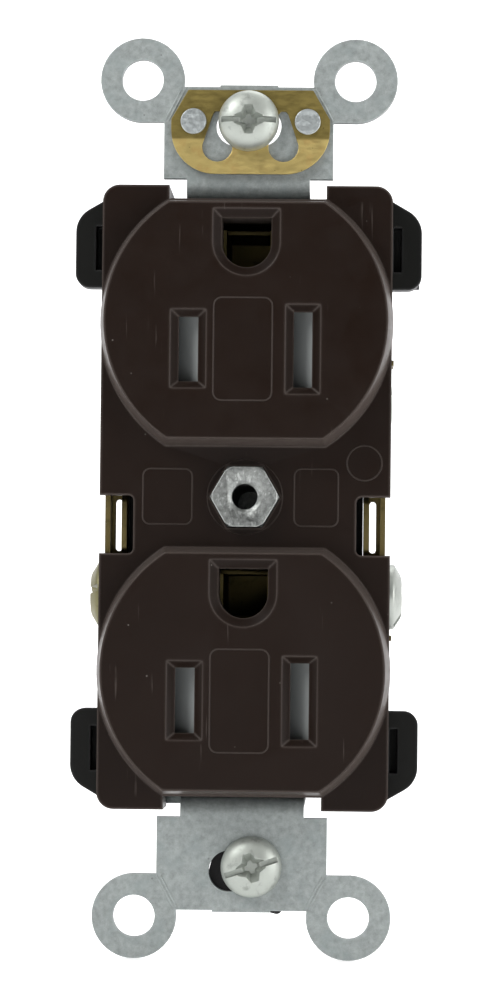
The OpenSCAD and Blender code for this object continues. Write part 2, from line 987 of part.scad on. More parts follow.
module upper_mounting_screw() {
    color(zinc)
        translate([0, 0, mount_z + upper_lift])
            mounting_screw(-strap_t - clip_t - flap_rise - fit);
}

module lower_mounting_screw() {
    color(zinc)
        translate([lower_screw_x, 0, -mount_z + lower_lift])
            rotate([0, -18, 0])
                mounting_screw(-strap_t - fit);
}

// square washer that holds the lower screw in its slot
module retaining_washer() {
    color(black)
        translate([lower_screw_x, 0, -mount_z + lower_lift])
            difference() {
                slab(fit, 0.95)
                    rotate(-washer_turn)
                        rounded_rect(washer_half, washer_half, 0.6);
                rod_y(mount_neck_r + fit, -1, 2);
            }
}

// ---------------------------------------------------------------- shutters
// Drawn round the middle of a face's blade slots, at rest, with both slots closed.

// a wedge whose front leans back to the left, from x0 to x1, with a short level stretch
module ramp(x0, x1, end_x) {
    translate([0, 0, -shut_h])
        linear_extrude(2 * shut_h)
            polygon([
                [x0, -shut_back], [x0, -ramp_low], [x1, -shut_front],
                [end_x, -shut_front], [end_x, -shut_back],
            ]);
}

module shutter() {
    ramp_run = ramp_hot1 - ramp_hot0;
    ramp(ramp_hot0, ramp_hot1, window0);
    ramp(window1, window1 + ramp_run - 0.1, shut_end);
    for (s = [-1, 1])
        translate([0, 0, s * (shut_h + bar_h) / 2])
            box(
                [window0 - 0.1, -3.2, (bar_h - shut_h) / 2],
                [window1 + 0.2, -shut_back, (shut_h - bar_h) / 2]
            );
}

module shutter_tray() {
    difference() {
        union() {
            box([-tray_x, -tray_front, -tray_h], [tray_x, -tray_back, tray_h]);
            for (s = [-1, 1])
                translate([0, 0, s * (shut_h + fit + 0.5)])
                    box([-rail_x, -cave_front, -0.5], [rail_x, -tray_front + 0.1, 0.5]);
            box([stop_x, -3.9, -1.1], [stop_x + stop_t, -tray_front + 0.1, 1.1]);
        }
        for (x = [-blade_x, blade_x])
            translate([x, 0, 0])
                slab(-tray_front - eps, -tray_back + eps)
                    square([2.8, 9], center = true);
        for (x = [-stake_x, stake_x])
            for (z = [-stake_z, stake_z])
                translate([x, 0, z])
                    rod_y(stake_r + fit, -tray_front - eps, -tray_back + eps);
    }
}

// coil along X from x0 to x1
module coil(x0, x1) {
    steps = spring_turns * 14;
    sides = 6;
    pts = [
        for (i = [0 : steps])
            for (j = [0 : sides - 1])
                let (
                    a = 360 * spring_turns * i / steps,
                    b = 360 * j / sides,
                    r = spring_r + wire_r * cos(b),
                    x = x0 + wire_r + (x1 - x0 - 2 * wire_r) * i / steps + wire_r * sin(b)
                )
                [x, spring_y + r * cos(a), r * sin(a)]
    ];
    skin = [
        for (i = [0 : steps - 1])
            for (j = [0 : sides - 1])
                [
                    i * sides + j, i * sides + (j + 1) % sides,
                    (i + 1) * sides + (j + 1) % sides, (i + 1) * sides + j,
                ]
    ];
    start_cap = [for (j = [sides - 1 : -1 : 0]) j];
    end_cap = [for (j = [0 : sides - 1]) steps * sides + j];
    polyhedron(points = pts, faces = concat(skin, [start_cap], [end_cap]));
}

module at_blades(end) {
    translate([0, 0, end * face_z - blade_drop])
        children();
}

module shutter_spring() {
    color(steel)
        coil(window0 + 0.01, stop_x - 0.01);
}

// ---------------------------------------------------------------- drawing

cover();
back_body();
mounting_strap();
self_ground_clip();
clip_rivets();
centre_post();
ground_strip();
ground_strip_rivets();
hot_strip();
neutral_strip();
color(brass) at_terminal(-1, 1) binding_screw();  // hot_upper_screw
color(brass) at_terminal(-1, -1) binding_screw();  // hot_lower_screw
color(zinc) at_terminal(1, 1) binding_screw();  // neutral_upper_screw
color(zinc) at_terminal(1, -1) binding_screw();  // neutral_lower_screw
color(brass) at_terminal(-1, 1) clamp_plate();  // hot_upper_plate
color(brass) at_terminal(-1, -1) clamp_plate();  // hot_lower_plate
color(zinc) at_terminal(1, 1) clamp_plate();  // neutral_upper_plate
color(zinc) at_terminal(1, -1) clamp_plate();  // neutral_lower_plate
ground_screw();
ground_clamp();
upper_mounting_screw();
lower_mounting_screw();
retaining_washer();
color(grey) at_blades(1) shutter();  // upper_shutter
color(grey) at_blades(-1) shutter();  // lower_shutter
at_blades(1) shutter_spring();  // upper_shutter_spring
at_blades(-1) shutter_spring();  // lower_shutter_spring
color(grey) at_blades(1) shutter_tray();  // upper_shutter_tray
color(grey) at_blades(-1) shutter_tray();  // lower_shutter_tray
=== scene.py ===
"""Looks of the duplex wall outlet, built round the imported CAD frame."""
import json
import math
import bmesh
import bpy
from mathutils import Matrix, Vector


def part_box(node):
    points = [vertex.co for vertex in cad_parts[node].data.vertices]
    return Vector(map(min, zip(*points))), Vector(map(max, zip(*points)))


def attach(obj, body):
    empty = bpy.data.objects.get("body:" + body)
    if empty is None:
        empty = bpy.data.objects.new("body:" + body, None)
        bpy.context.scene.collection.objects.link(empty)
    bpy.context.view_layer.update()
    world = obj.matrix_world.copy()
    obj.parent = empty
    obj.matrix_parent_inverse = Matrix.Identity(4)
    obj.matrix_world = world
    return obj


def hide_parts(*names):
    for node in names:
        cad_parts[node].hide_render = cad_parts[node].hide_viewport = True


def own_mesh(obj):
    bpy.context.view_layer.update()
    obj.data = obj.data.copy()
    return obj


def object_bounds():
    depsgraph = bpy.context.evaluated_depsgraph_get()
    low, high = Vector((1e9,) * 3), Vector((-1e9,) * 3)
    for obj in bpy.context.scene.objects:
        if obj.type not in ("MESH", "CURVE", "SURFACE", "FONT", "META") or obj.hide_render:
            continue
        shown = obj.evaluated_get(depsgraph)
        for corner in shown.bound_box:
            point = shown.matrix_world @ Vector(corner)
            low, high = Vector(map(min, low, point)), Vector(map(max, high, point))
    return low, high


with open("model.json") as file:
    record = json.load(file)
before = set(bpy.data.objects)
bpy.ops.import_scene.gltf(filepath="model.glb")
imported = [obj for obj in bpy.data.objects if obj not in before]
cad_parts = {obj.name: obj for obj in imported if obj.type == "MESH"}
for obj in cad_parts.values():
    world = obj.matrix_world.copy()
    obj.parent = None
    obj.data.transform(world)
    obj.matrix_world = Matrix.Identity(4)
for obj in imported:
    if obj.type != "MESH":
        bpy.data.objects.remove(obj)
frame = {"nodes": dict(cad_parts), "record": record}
cad_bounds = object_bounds()

MM = 0.001
FRONT = Vector((0, -1, 0))
LEFT, RIGHT = Vector((-1, 0, 0)), Vector((1, 0, 0))

# the outlet's own dimensions, in millimetres
STRAP_FRONT_Y = -1.2
COVER_FRONT_Y = -1.95
FACE_Z = 19.45          # centre of a face
BLADE_DROP = 3.2        # blade slots below that centre
CLIP_BEND_Z = 40.15
THREAD_PITCH = 0.794
DOME_HEIGHT = 2.3       # mounting screw's head
BINDING_HEIGHT = 1.8    # terminal screw's head
RIB_WIDTH, RIB_HEIGHT = 0.2, 0.07

# edges sharper than this are softened
CAD_ANGLE = 32
SCREW_ANGLE = 34


# ------------------------------------------------------------------ materials

class Shader:
    """A material's node graph, with short calls for the nodes that the looks use.

    edge is the radius, in millimetres, that sharp edges seem rounded to.
    """

    def __init__(self, name, colour, roughness, metallic=0.0, edge=0.15):
        self.material = bpy.data.materials.new(name)
        self.material.use_nodes = True
        self.tree = self.material.node_tree
        self.surface = self.tree.nodes["Principled BSDF"]
        self.place = self.tree.nodes.new("ShaderNodeTexCoord").outputs["Object"]
        self.set("Base Color", rgb(colour))
        self.set("Roughness", roughness)
        self.set("Metallic", metallic)
        self.rounded = self.add("ShaderNodeBevel", {"Radius": edge * MM}, samples=6).outputs["Normal"]

    def set(self, socket, value):
        target = self.surface.inputs[socket]
        if isinstance(value, bpy.types.NodeSocket):
            self.tree.links.new(value, target)
        else:
            target.default_value = value

    def add(self, kind, inputs, **settings):
        node = self.tree.nodes.new(kind)
        for key, value in settings.items():
            setattr(node, key, value)
        for key, value in inputs.items():
            if isinstance(value, bpy.types.NodeSocket):
                self.tree.links.new(value, node.inputs[key])
            else:
                node.inputs[key].default_value = value
        return node

    def where(self, stretch=(1, 1, 1), turn=(0, 0, 0), shift=(0, 0, 0)):
        angles = [math.radians(a) for a in turn]
        inputs = {"Vector": self.place, "Scale": stretch, "Rotation": angles, "Location": shift}
        return self.add("ShaderNodeMapping", inputs).outputs["Vector"]

    def noise(self, size, detail=3.0, roughness=0.55, distortion=0.0, **where):
        """Noise whose blobs are about size millimetres across, 0 to 1."""
        inputs = {
            "Vector": self.where(**where), "Scale": 1 / (size * MM), "Detail": detail,
            "Roughness": roughness, "Distortion": distortion,
        }
        return self.add("ShaderNodeTexNoise", inputs).outputs["Fac"]

    def cells(self, size, output="Distance"):
        """Voronoi cells about size millimetres across."""
        inputs = {"Vector": self.where(), "Scale": 1 / (size * MM)}
        return self.add("ShaderNodeTexVoronoi", inputs).outputs[output]

    def level(self, value, low, high, out_low=0.0, out_high=1.0):
        inputs = {"Value": value, "From Min": low, "From Max": high, "To Min": out_low, "To Max": out_high}
        return self.add("ShaderNodeMapRange", inputs, clamp=True).outputs["Result"]

    def math(self, kind, a, b):
        return self.add("ShaderNodeMath", {0: a, 1: b}, operation=kind).outputs["Value"]

    def height(self, axis):
        """One object coordinate, in metres."""
        return self.add("ShaderNodeSeparateXYZ", {"Vector": self.place}).outputs[axis]

    def mix(self, share, a, b):
        inputs = {0: share, 6: a, 7: b}
        return self.add("ShaderNodeMix", inputs, data_type="RGBA").outputs[2]

    def edges(self, width=0.25):
        """1 along the edges, 0 on flats more than width millimetres away."""
        flat = self.add("ShaderNodeNewGeometry", {}).outputs["Normal"]
        smooth = self.add("ShaderNodeBevel", {"Radius": width * MM}, samples=8).outputs["Normal"]
        turn = self.add("ShaderNodeVectorMath", {0: smooth, 1: flat}, operation="DOT_PRODUCT")
        return self.level(turn.outputs["Value"], 0.995, 0.94)

    def grazing(self):
        """0 where the surface faces the viewer, 1 where it is seen edge-on."""
        inputs = {"Blend": 0.5, "Normal": self.rounded}
        return self.add("ShaderNodeLayerWeight", inputs).outputs["Facing"]

    def bump(self, height, depth, strength=1.0):
        """depth is in millimetres."""
        inputs = {"Height": height, "Distance": depth * MM, "Strength": strength, "Normal": self.rounded}
        self.set("Normal", self.add("ShaderNodeBump", inputs).outputs["Normal"])


def rgb(colour):
    return (*colour, 1.0)


def shade(colour, factor):
    return rgb(tuple(c * factor for c in colour))


def scratches(s, size, turn, keep):
    """Long thin marks in one direction, in patches: 1 on a mark, 0 elsewhere."""
    lines = s.noise(size, 2.0, 0.5, 0.3, stretch=(1, 1, 0.045), turn=turn)
    patches = s.noise(size * 9, 2.0, 0.5, shift=(0.013, 0, 0.007))
    fine = s.level(lines, keep, keep + 0.05)
    return s.math("MULTIPLY", fine, s.level(patches, 0.5, 0.62))


def specks(s, size, share):
    """Sparse round dots: 1 on a dot."""
    dot = s.level(s.cells(size), 0.16, 0.08)
    chance = s.add("ShaderNodeSeparateColor", {"Color": s.cells(size, "Color")}).outputs["Red"]
    pick = s.level(chance, 1 - share, 1 - share + 0.01)
    return s.math("MULTIPLY", dot, pick)


def moulded_plastic(name, colour, wear_and_sheen_colour, roughness, marks=1.0):
    """Satin moulded plastic with cloudy gloss, hairline scratches, dust, and a painted highlight on its edges
    and a painted sheen on the sides seen edge-on.
    """
    s = Shader(name, colour, roughness, edge=0.3)
    cloud = s.noise(7.0, 4.0, 0.6)
    base = s.mix(cloud, shade(colour, 0.86), shade(colour, 1.16))
    lines = s.math("MAXIMUM", scratches(s, 0.5, (0, 24, 0), 0.69), scratches(s, 0.4, (0, -58, 0), 0.70))
    lines = s.math("MULTIPLY", lines, 0.5 * marks)
    base = s.mix(lines, base, rgb(wear_and_sheen_colour))
    dust = s.math("MULTIPLY", specks(s, 0.7, 0.012), 0.5 * marks)
    base = s.mix(dust, base, rgb((0.22, 0.20, 0.18)))
    # painted highlight along the edges and painted sheen where the surface is seen edge-on, both in the
    # scratch colour
    painted_rim_highlight = s.math("MULTIPLY", s.edges(0.5), 0.8)
    pale = s.math("MAXIMUM", painted_rim_highlight, s.level(s.grazing(), 0.35, 0.75))
    s.set("Base Color", s.mix(pale, base, rgb(wear_and_sheen_colour)))
    gloss = s.level(s.noise(2.6, 5.0, 0.65), 0.3, 0.7, roughness - 0.06, roughness + 0.08)
    s.set("Roughness", s.math("ADD", gloss, s.math("MULTIPLY", lines, 0.3)))
    grain = s.noise(0.16, 2.0, 0.6)
    s.bump(s.math("ADD", s.math("MULTIPLY", grain, 0.25), s.noise(5.0, 1.0)), 0.02, 0.6)
    s.set("IOR", 1.49)
    s.set("Specular IOR Level", 0.13)
    return s.material


def galvanised(name, colour):
    """Zinc-coated sheet: a fine dark mottle, pits, a dull grain and a painted highlight along its edges."""
    s = Shader(name, colour, 0.5, 0.4, edge=0.12)
    mottle = s.noise(0.7, 7.0, 0.75)
    base = s.mix(s.level(mottle, 0.3, 0.7), shade(colour, 0.66), shade(colour, 1.2))
    patch = s.level(s.noise(2.6, 4.0, 0.6, shift=(0.02, 0.01, 0)), 0.5, 0.7, 0.0, 0.4)
    base = s.mix(patch, base, rgb((colour[0] * 0.78, colour[1] * 0.84, colour[2] * 0.85)))
    base = s.mix(s.math("MULTIPLY", specks(s, 0.9, 0.10), 0.6), base, shade(colour, 0.3))
    # painted highlight: the edges are drawn lighter
    base = s.mix(s.math("MULTIPLY", s.edges(), 0.35), base, shade(colour, 1.5))
    s.set("Base Color", base)
    s.set("Roughness", s.level(mottle, 0.3, 0.7, 0.42, 0.62))
    s.bump(s.math("ADD", s.noise(0.22, 3.0), s.math("MULTIPLY", mottle, 1.5)), 0.02, 0.8)
    return s.material


def plated(name, colour, roughness, grain, dirt=0.3, metallic=0.92):
    """Plated or bare metal with a fine grain, a mottled gloss and a little dirt."""
    s = Shader(name, colour, roughness, metallic, edge=0.08)
    cloud = s.noise(grain * 4, 5.0, 0.65)
    base = s.mix(cloud, shade(colour, 0.82), shade(colour, 1.12))
    grime = s.level(s.noise(1.1, 4.0, 0.6, shift=(0, 0.004, 0.002)), 0.55, 0.75, 0.0, dirt)
    base = s.mix(grime, base, shade(colour, 0.35))
    s.set("Base Color", base)
    s.set("Roughness", s.level(cloud, 0.3, 0.7, roughness - 0.07, roughness + 0.12))
    s.bump(s.noise(grain, 3.0, 0.6), 0.012, 0.8)
    return s.material


def scuffed_zinc(name, colour):
    """Plated bar stock: a mottled grey with bright scuffs, and a painted highlight along its edges."""
    s = Shader(name, colour, 0.4, 0.9, edge=0.2)
    mottle = s.noise(0.45, 6.0, 0.7)
    base = s.mix(s.level(mottle, 0.35, 0.65), shade(colour, 0.6), shade(colour, 1.2))
    scuffs_and_edge_highlight = s.level(s.noise(0.3, 4.0, 0.7, stretch=(1, 1, 0.5), turn=(0, 35, 0)), 0.55, 0.68)
    # bright scuffs, and a painted highlight along the edges, in one mask
    scuffs_and_edge_highlight = s.math("MAXIMUM", s.math("MULTIPLY", scuffs_and_edge_highlight, 0.55), s.math("MULTIPLY", s.edges(), 0.6))
    s.set("Base Color", s.mix(scuffs_and_edge_highlight, base, shade(colour, 2.4)))
    s.set("Roughness", s.level(mottle, 0.3, 0.7, 0.28, 0.5))
    s.bump(mottle, 0.04, 0.9)
    return s.material


def shaded_and_lit_clip(name, dark, bright):
    """Brass sheet: the part above the bend, where it is riveted down, in painted shade, and lit brass on the
    lower flap.
    """
    s = Shader(name, bright, 0.4, 0.75, edge=0.06)
    blend = 0.12
    flap = s.level(s.height("Z"), (CLIP_BEND_Z + blend) * MM, (CLIP_BEND_Z - blend) * MM)
    streak = s.noise(0.6, 5.0, 0.7, stretch=(0.5, 1, 1.4))
    # painted shade: the part above the bend is drawn darker than the lit lower flap
    upper = s.mix(streak, shade(dark, 0.6), shade(dark, 1.5))
    lower = s.mix(streak, shade(bright, 0.84), shade(bright, 1.12))
    blush = s.level(s.noise(1.3, 3.0, 0.6), 0.52, 0.7, 0.0, 0.35)
    coppery = rgb((bright[0] * 0.85, bright[1] * 0.62, bright[2] * 0.55))
    lower = s.mix(blush, lower, coppery)
    base = s.mix(flap, upper, lower)
    base = s.mix(s.math("MULTIPLY", specks(s, 0.6, 0.06), 0.7), base, shade(dark, 0.2))
    s.set("Base Color", base)
    s.set("Roughness", s.level(streak, 0.3, 0.7, 0.32, 0.5))
    s.bump(s.noise(0.3, 4.0), 0.02, 0.6)
    return s.material


def hammered(name, colour):
    """Plated rivet heads with shallow dents."""
    s = Shader(name, colour, 0.38, 0.7, edge=0.1)
    cloud = s.noise(0.5, 4.0, 0.6)
    s.set("Base Color", s.mix(cloud, shade(colour, 0.62), shade(colour, 1.25)))
    s.bump(s.math("ADD", s.cells(0.7), s.math("MULTIPLY", cloud, 0.4)), 0.10, 0.9)
    return s.material


def fibre(name, colour):
    """Pressed fibre board with a stringy grain."""
    s = Shader(name, colour, 0.75)
    strand = s.noise(0.2, 5.0, 0.8, stretch=(1, 1, 0.3))
    s.set("Base Color", s.mix(strand, shade(colour, 0.6), shade(colour, 1.6)))
    s.bump(strand, 0.03, 0.8)
    return s.material


def white_stage(name):
    """White and slightly glowing, and clear from behind, so that it never hides the outlet."""
    white = (0.90, 0.90, 0.91)
    s = Shader(name, white, 0.9)
    s.set("Base Color", s.mix(s.noise(60.0, 2.0), rgb((0.88, 0.88, 0.89)), rgb(white)))
    s.set("Emission Color", rgb((1, 1, 1)))
    s.set("Emission Strength", 0.5)
    behind = s.add("ShaderNodeNewGeometry", {}).outputs["Backfacing"]
    clear = s.add("ShaderNodeBsdfTransparent", {}).outputs["BSDF"]
    both = s.add("ShaderNodeMixShader", {0: behind, 1: s.surface.outputs["BSDF"], 2: clear})
    s.tree.links.new(both.outputs["Shader"], s.tree.nodes["Material Output"].inputs["Surface"])
    return s.material


def make_materials():
    """One material for each of the record's slots."""
    black = (0.0066, 0.0068, 0.0060)
    brown = (0.0086, 0.0043, 0.0026)
    return {
        # each plastic's second colour is its scratch colour, and it also paints the highlight on its edges
        # and the sheen on its sides
        "brown_cover": moulded_plastic("brown_nylon", brown, (0.058, 0.046, 0.040), 0.40),
        "black_body": moulded_plastic("black_thermoplastic", black, (0.020, 0.020, 0.020), 0.44, 0.6),
        "shutter_grey": moulded_plastic("grey_shutter", (0.28, 0.295, 0.29), (0.36, 0.36, 0.35), 0.4, 0.3),
        "galvanised_strap": galvanised("galvanised_steel", (0.265, 0.290, 0.283)),
        # the first colour is the clip's brass in painted shade, the second the lit brass
        "clip_brass": shaded_and_lit_clip("clip_brass", (0.20, 0.155, 0.045), (0.54, 0.42, 0.155)),
        "rivet_steel": hammered("hammered_rivet", (0.40, 0.43, 0.43)),
        "post_zinc": scuffed_zinc("zinc_post", (0.25, 0.26, 0.25)),
        "contact_brass": plated("brass_strip", (0.125, 0.098, 0.038), 0.42, 0.5, 0.75),
        "terminal_brass": plated("brass_plated_steel", (0.16, 0.148, 0.075), 0.4, 0.4, 0.6, metallic=0.7),
        "terminal_silver": plated("nickel_plated_steel", (0.39, 0.41, 0.38), 0.38, 0.4, 0.35, metallic=0.7),
        "ground_green": plated("green_plating", (0.020, 0.14, 0.045), 0.38, 0.4, 0.3),
        "screw_zinc": plated("zinc_screw", (0.385, 0.41, 0.375), 0.42, 0.3, 0.6, metallic=0.6),
        "spring_steel": plated("spring_wire", (0.4, 0.4, 0.4), 0.3, 0.2),
        "washer_black": fibre("black_fibre", (0.010, 0.0095, 0.010)),
    }


SLOT_OF = {row["node"]: row["material_slot"] for row in frame["record"]["subparts"]}
BODY_OF = {n: body for body, ns in frame["record"]["behaviour"]["bodies"].items() for n in ns}
MATERIALS = make_materials()


# ------------------------------------------------------------------ mesh helpers

def new_object(name, bm):
    mesh = bpy.data.meshes.new(name)
    bm.normal_update()
    bm.to_mesh(mesh)
    bm.free()
    piece = bpy.data.objects.new(name, mesh)
    bpy.context.scene.collection.objects.link(piece)
    return piece


def dress(piece, node, replaced=True):
    """Gives a piece the body, slot and material of a CAD node, and lets it stand for that node."""
    slot = SLOT_OF[node]
    piece.data.materials.clear()
    piece.data.materials.append(MATERIALS[slot])
    piece.data.polygons.foreach_set("use_smooth", [True] * len(piece.data.polygons))
    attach(piece, BODY_OF[node])
    if replaced:
        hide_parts(node)
    return piece


def soften(piece, width, segments, angle):
    """Rounds the edges sharper than angle, width millimetres wide, and keeps the flats flat."""
    for face in piece.data.polygons:
        face.use_smooth = len(face.vertices) <= 4
    piece.data.set_sharp_from_angle(angle=math.radians(angle))
    bevel = piece.modifiers.new("soft_edges", "BEVEL")
    bevel.width = width * MM
    bevel.segments = segments
    bevel.limit_method = "ANGLE"
    bevel.angle_limit = math.radians(angle)
    bevel.use_clamp_overlap = True
    bevel.harden_normals = True
    return piece


def welded(node):
    """The CAD node's mesh, welded, with flat regions as single faces."""
    bm = bmesh.new()
    bm.from_mesh(frame["nodes"][node].data)
    bmesh.ops.remove_doubles(bm, verts=bm.verts, dist=0.002 * MM)
    bmesh.ops.dissolve_degenerate(bm, edges=bm.edges, dist=0.001 * MM)
    bmesh.ops.dissolve_limit(
        bm, angle_limit=math.radians(0.4), verts=bm.verts, edges=bm.edges,
        use_dissolve_boundaries=False,
    )
    return bm


def softened_node(node, width, segments):
    """A CAD node's shape with softened edges, in the node's place."""
    return soften(dress(new_object(node + "_look", welded(node)), node), width, segments, CAD_ANGLE)


def lathe(bm, profile, steps=72):
    """Turns (radius, height) points, in millimetres, round +Z."""
    rings = []
    for radius, height in profile:
        if radius < 1e-6:                    # a point on the axis
            rings.append([bm.verts.new((0, 0, height * MM))])
            continue
        ring = []
        for i in range(steps):
            a = 2 * math.pi * i / steps
            ring.append(bm.verts.new((radius * MM * math.cos(a), radius * MM * math.sin(a), height * MM)))
        rings.append(ring)
    for low, high in zip(rings, rings[1:]):
        for i in range(steps):
            j = (i + 1) % steps
            if len(low) == 1:
                bm.faces.new((low[0], high[j], high[i]))
            elif len(high) == 1:
                bm.faces.new((low[i], low[j], high[0]))
            else:
                bm.faces.new((low[i], low[j], high[j], high[i]))
    bmesh.ops.recalc_face_normals(bm, faces=bm.faces)


def arc_points(centre, radius, start, end, steps):
    """Points along an arc, with its angles in degrees."""
    points = []
    for i in range(steps + 1):
        a = math.radians(start + (end - start) * i / steps)
        points.append((centre[0] + radius * math.cos(a), centre[1] + radius * math.sin(a)))
    return points


def prism(bm, outline, low, high, grow=0.0):
    """An XY outline in millimetres, from low to high along Z; the top may be grown about the origin."""
    bottom = [bm.verts.new((x * MM, y * MM, low * MM)) for x, y in outline]
    scale = 1 + grow
    top = [bm.verts.new((x * scale * MM, y * scale * MM, high * MM)) for x, y in outline]
    faces = [bm.faces.new(list(reversed(bottom))), bm.faces.new(top)]
    for i in range(len(outline)):
        j = (i + 1) % len(outline)
        faces.append(bm.faces.new((bottom[i], bottom[j], top[j], top[i])))
    bmesh.ops.recalc_face_normals(bm, faces=faces)


def carve(piece, cutter):
    """Cuts cutter out of piece, and deletes it."""
    cut = piece.modifiers.new("carve", "BOOLEAN")
    cut.operation = "DIFFERENCE"
    cut.solver = "EXACT"
    cut.object = cutter
    bpy.context.view_layer.update()
    graph = bpy.context.evaluated_depsgraph_get()
    mesh = bpy.data.meshes.new_from_object(piece.evaluated_get(graph))
    piece.modifiers.clear()
    piece.data = mesh
    bpy.data.objects.remove(cutter)
    return piece


def place(piece, at, outward, turn):
    """Puts a shape that was built round +Z at a point, with +Z outward and turned about it."""
    spin = Matrix.Rotation(math.radians(turn), 4, "Z")
    aim = outward.to_track_quat("Z", "Y").to_matrix().to_4x4()
    piece.data.transform(Matrix.Translation(at) @ aim @ spin)
    return piece


def join(target, others):
    """Adds the other pieces' meshes to target's."""
    bm = bmesh.new()
    for part in [target, *others]:
        bm.from_mesh(part.data)
    bm.to_mesh(target.data)
    bm.free()
    for part in others:
        bpy.data.objects.remove(part)
    return target


def thread(major, minor, pitch, low, high):
    """A right-handed screw thread along Z, in millimetres, that runs out at both ends."""
    bm = bmesh.new()
    steps, rows_a_turn = 28, 8
    rows = max(4, int((high - low) / pitch * rows_a_turn))
    rings = []
    for k in range(rows + 1):
        z = low + (high - low) * k / rows
        run_out = min(1.0, (z - low) / pitch, (high - z) / pitch)
        ring = []
        for i in range(steps):
            a = 2 * math.pi * i / steps
            phase = (z / pitch - i / steps) % 1.0
            crest = max(0.0, 1 - abs(phase - 0.5) * 2.4) * max(0.0, run_out)
            r = (minor + (major - minor) * min(1.0, crest * 1.15)) * MM
            ring.append(bm.verts.new((r * math.cos(a), r * math.sin(a), z * MM)))
        rings.append(ring)
    for low_ring, high_ring in zip(rings, rings[1:]):
        for i in range(steps):
            j = (i + 1) % steps
            bm.faces.new((low_ring[i], low_ring[j], high_ring[j], high_ring[i]))
    bm.faces.new(list(reversed(rings[0])))
    bm.faces.new(rings[-1])
    bmesh.ops.recalc_face_normals(bm, faces=bm.faces)
    return new_object("thread", bm)


# ------------------------------------------------------------------ screws

def slot_cutter(top, half, width, depth):
    """Straight slot along X, depth below top."""
    bm = bmesh.new()
    w = width / 2
    prism(bm, [(-half, -w), (half, -w), (half, w), (-half, w)], top - depth, top + 1)
    return new_object("cutter", bm)


def cross_cutter(top, half, width, depth):
    """Tapered cross with filled-in corners, depth below top."""
    bm = bmesh.new()
    w = width / 2
    corner = w * 1.75
    outline = []
    for quarter in range(4):
        a = math.radians(90 * quarter)
        for x, y in ((half, -w), (half, w), (corner, corner)):
            outline.append((x * math.cos(a) - y * math.sin(a), x * math.sin(a) + y * math.cos(a)))
    foot, mouth = 0.42, 1.12                 # its size at its foot, and just above the head
    small = [(x * foot, y * foot) for x, y in outline]
    prism(bm, small, top - depth, top + 0.4, 1 / foot * mouth - 1)
    return new_object("cutter", bm)


def screw_head(profile, top, slot, cross):
    """A turned head with a combined recess: slot and cross each give a half length, width and depth."""
    bm = bmesh.new()
    lathe(bm, profile)
    head = carve(new_object("head", bm), slot_cutter(top, *slot))
    return carve(head, cross_cutter(top, *cross))


def mounting_screw(node, turn):
    """Domed combination-head screw; its place comes from the CAD screw."""
    low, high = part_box(node)
    radius = (high.x - low.x) / 2 / MM
    centre = Vector(((low.x + high.x) / 2, 0, (low.z + high.z) / 2))
    front, tip = -low.y / MM, -high.y / MM
    seat = front - DOME_HEIGHT
    profile = [(0, seat), (radius - 0.15, seat), (radius, seat + 0.12), (radius, seat + 0.42)]
    rim, steps = 0.45, 16
    dome = front - seat - rim
    for i in range(1, steps + 1):
        a = i / steps * math.pi / 2
        r = radius * math.cos(a) ** 0.86 if i < steps else 0
        profile.append((r, seat + rim + dome * math.sin(a) ** 0.92))
    head = screw_head(profile, front - 0.02, (radius * 0.90, 0.62, 1.25), (1.75, 0.95, 1.7))
    shank = thread(1.74, 1.36, THREAD_PITCH, tip + 0.05, -1.62)
    neck = bmesh.new()
    lathe(neck, [(0, -1.9), (1.3, -1.9), (1.48, -1.6), (1.48, seat + 0.2), (0, seat + 0.2)], 32)
    piece = join(head, [shank, new_object("neck", neck)])
    place(piece, centre, FRONT, turn)
    piece.name = node + "_look"
    return soften(dress(piece, node), 0.09, 2, SCREW_ANGLE)


def terminal_screw(node, outward, turn):
    """Binding-head terminal screw with a slot, a cross and a stepped rim."""
    low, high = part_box(node)
    mid = (low + high) / 2
    radius = (high.z - low.z) / 2 / MM
    reach = (high.x - low.x) / MM
    inner = high.x if outward.x < 0 else low.x
    base = Vector((inner, mid.y, mid.z))
    seat = reach - BINDING_HEIGHT
    profile = [
        (0, seat), (radius - 0.2, seat), (radius, seat + 0.15), (radius, seat + 0.75),
        (radius - 0.12, seat + 0.95), (radius - 0.55, seat + 1.2), (radius - 1.2, seat + 1.6),
        (radius - 1.6, seat + 1.74), (radius - 2.2, seat + 1.8), (0, seat + 1.8),
    ]
    head = screw_head(profile, reach - 0.02, (radius * 1.2, 0.85, 0.95), (2.0, 1.05, 1.3))
    shank = thread(1.98, 1.6, THREAD_PITCH, 0.02, seat + 0.1)
    piece = join(head, [shank])
    place(piece, base, outward, turn)
    piece.name = node + "_look"
    return soften(dress(piece, node), 0.1, 2, SCREW_ANGLE)


def build_screws():
    """Each screw stands at rest with its slot turned by the angle given, in degrees."""
    mounting_screw("upper_mounting_screw", 0)
    mounting_screw("lower_mounting_screw", 18)
    terminal_screw("hot_upper_screw", LEFT, 35)
    terminal_screw("hot_lower_screw", LEFT, 12)
    terminal_screw("neutral_upper_screw", RIGHT, -28)
    terminal_screw("neutral_lower_screw", RIGHT, 64)
    terminal_screw("ground_screw", LEFT, 80)


# ------------------------------------------------------------------ cover details

def rounded_outline(cx, cz, half_w, half_h, radius):
    """(x, z) points round a rectangle with rounded corners."""
    points = []
    for sx, sz, start in ((1, 1, 0), (-1, 1, 90), (-1, -1, 180), (1, -1, 270)):
        middle = (cx + sx * (half_w - radius), cz + sz * (half_h - radius))
        points += arc_points(middle, radius, start, start + 90, 5)
    return points


